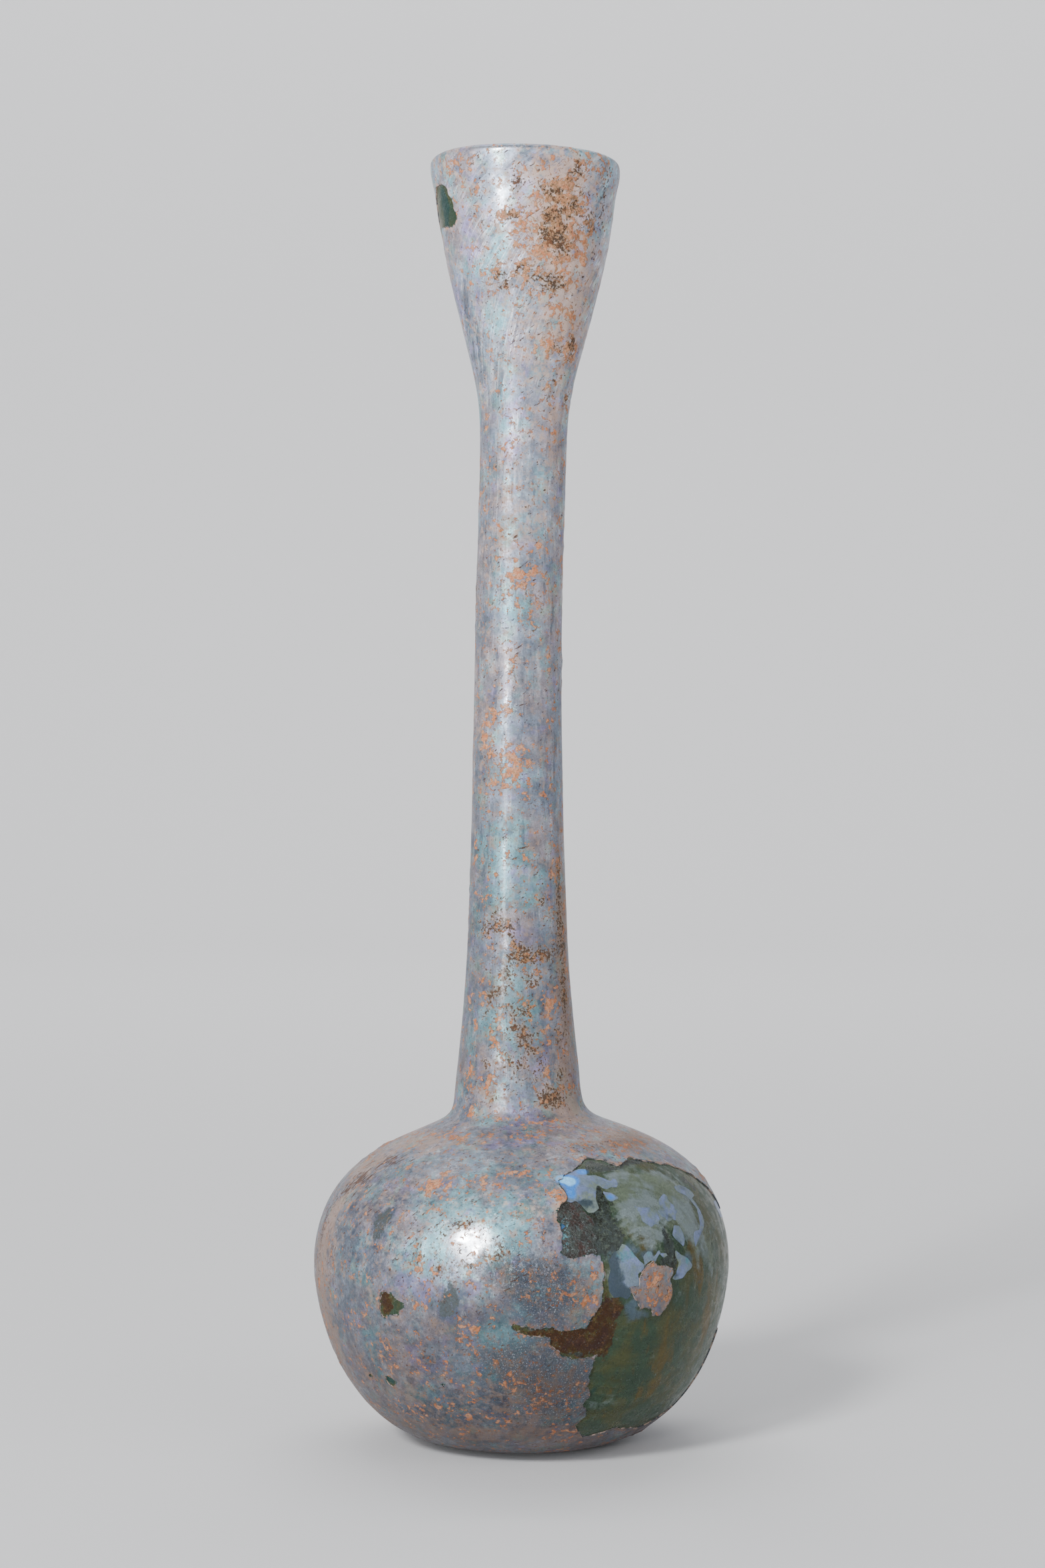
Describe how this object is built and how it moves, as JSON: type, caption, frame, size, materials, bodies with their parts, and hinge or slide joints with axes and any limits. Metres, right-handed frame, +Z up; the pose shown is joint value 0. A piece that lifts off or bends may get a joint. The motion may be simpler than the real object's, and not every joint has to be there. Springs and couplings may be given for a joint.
{
  "type": "ancient glass flask",
  "caption": "Free-blown glass flask with a squat round body, a tall tapering neck, a funnel mouth and a weathered crust; hollow, and stands on its foot.",
  "frame": {"origin": "on the standing surface, under the middle of the foot", "axes": "+Z up along the body's axis, -Y towards the side seen in the picture, +X to its right"},
  "size_m": [0.0684, 0.0684, 0.2105],
  "materials": {
    "weathered_glass": "silvery blue-grey weathering crust with a pearly sheen, tan and brown soil, and bare dark green glass where the crust has flaked"
  },
  "bodies": {
    "root": {"flask": "weathered_glass"}
  },
  "joints": []
}
